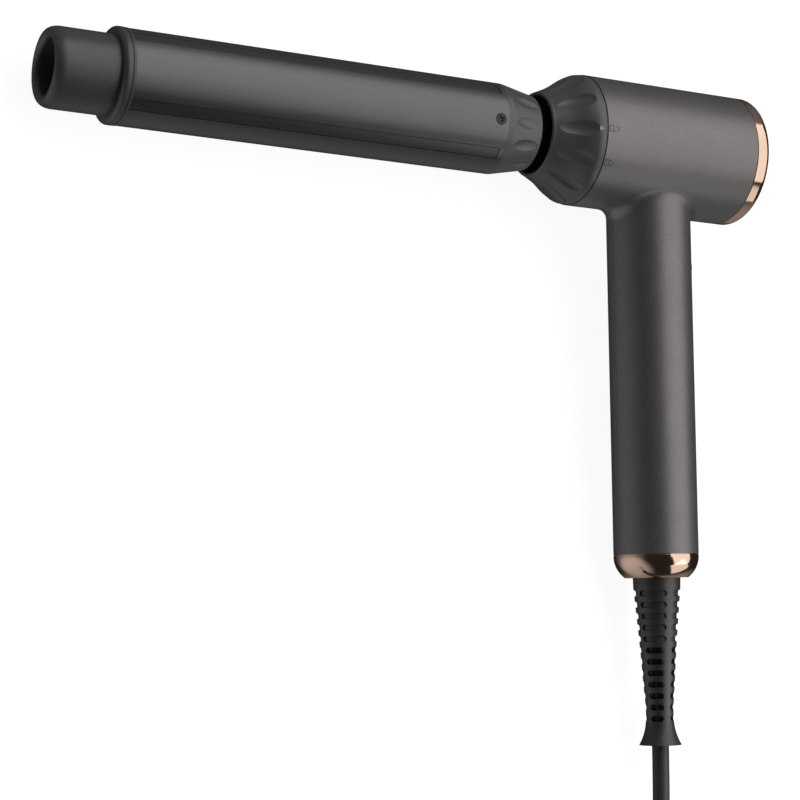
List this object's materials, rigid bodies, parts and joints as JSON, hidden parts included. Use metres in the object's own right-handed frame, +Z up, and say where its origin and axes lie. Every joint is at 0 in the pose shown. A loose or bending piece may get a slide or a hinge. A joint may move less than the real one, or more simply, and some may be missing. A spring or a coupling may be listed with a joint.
{
  "type": "curling iron",
  "caption": "Pistol-shaped curling iron: detachable round ceramic barrel with cool tip, lock ring, cylindrical body, upright grip with buttons, swivel cord boot and mains cord.",
  "frame": {"origin": "centre of the device's box, on the surface it lies on, left side down", "axes": "+X from the cool tip towards the rear cover along the barrel, +Y from the cord boot up the grip towards the barrel, +Z up out of the right-hand side"},
  "size_m": [0.3206, 0.4339, 0.0588],
  "materials": {
    "housing_paint": "fine metallic warm grey paint, satin",
    "rose_gold": "polished rose gold plating",
    "ring_plastic": "moulded dark grey plastic, satin",
    "tip_plastic": "textured heat-resistant black plastic",
    "barrel_ceramic": "smooth dark ceramic coating, satin",
    "strip_ceramic": "glossier black ceramic coating",
    "black_gloss": "glossy black plastic",
    "black_plastic": "black moulded plastic",
    "button_plastic": "satin grey plastic",
    "boot_rubber": "soft black rubber",
    "cord_sheath": "smooth black cable sheath",
    "black_steel": "blackened steel",
    "brass": "plain contact brass",
    "core_aluminium": "extruded aluminium",
    "plate_ceramic": "fired white ceramic",
    "board_laminate": "green laminate board",
    "lens": "clear moulded lens"
  },
  "bodies": {
    "body": {"right_housing": "housing_paint", "left_housing": "housing_paint", "housing_screws": "black_steel", "rear_ring": "rose_gold", "rear_cover": "black_plastic", "control_panel": "black_gloss", "indicator_lenses": "lens", "control_board": "board_laminate", "board_parts": "board_laminate", "socket": "black_plastic", "contact_sleeves": "brass", "socket_leads": "cord_sheath", "mains_leads": "cord_sheath", "end_cap": "rose_gold", "brush_plate": "black_plastic", "brushes": "brass", "mains_cord": "cord_sheath", "cord_tail": "cord_sheath", "cord_coil": "cord_sheath", "cord_tie": "cord_sheath", "plug_body": "black_plastic", "plug_prongs": "brass"},
    "barrel": {"cool_tip": "tip_plastic", "tip_screw": "black_steel", "tip_ring": "tip_plastic", "barrel_tube": "barrel_ceramic", "barrel_strip_1": "strip_ceramic", "barrel_strip_2": "strip_ceramic", "barrel_strip_3": "strip_ceramic", "barrel_strip_4": "strip_ceramic", "barrel_collar": "ring_plastic", "barrel_screws": "black_steel", "barrel_spigot": "black_gloss", "plug_block": "black_plastic", "plug_pins": "brass", "heater_core": "core_aluminium", "heater_plates": "plate_ceramic", "heater_film": "black_plastic", "thermistor": "black_plastic", "barrel_leads": "cord_sheath"},
    "lock_ring": {"lock_ring": "ring_plastic"},
    "power_button": {"power_button": "button_plastic"},
    "minus_button": {"minus_button": "button_plastic"},
    "plus_button": {"plus_button": "button_plastic"},
    "cord_swivel": {"slip_rings": "brass", "swivel_hub": "black_plastic", "cord_boot": "boot_rubber", "boot_cord": "cord_sheath"}
  },
  "joints": [
    {"name": "barrel_release", "type": "slide", "parent": "body", "child": "barrel", "axis": [-0.9991, 0, -0.0412], "range_m": [0, 0.055]},
    {"name": "lock_ring_turn", "type": "hinge", "parent": "body", "child": "lock_ring", "pos_m": [0.06833, 0.11329, 0.02744], "axis": [0.9991, 0, 0.0412], "range_deg": [0, 30]},
    {"name": "power_press", "type": "slide", "parent": "body", "child": "power_button", "axis": [-0.9978, -0.0487, -0.0444], "range_m": [0, 0.0008], "stiffness_N_per_m": 500},
    {"name": "minus_press", "type": "slide", "parent": "body", "child": "minus_button", "axis": [-0.9978, -0.0487, -0.0444], "range_m": [0, 0.0008], "stiffness_N_per_m": 500},
    {"name": "plus_press", "type": "slide", "parent": "body", "child": "plus_button", "axis": [-0.9978, -0.0487, -0.0444], "range_m": [0, 0.0008], "stiffness_N_per_m": 500},
    {"name": "cord_swivel_turn", "type": "hinge", "parent": "body", "child": "cord_swivel", "pos_m": [0.12277, -0.07009, 0.01751], "axis": [0.0515, -0.9966, -0.064], "continuous": true}
  ]
}
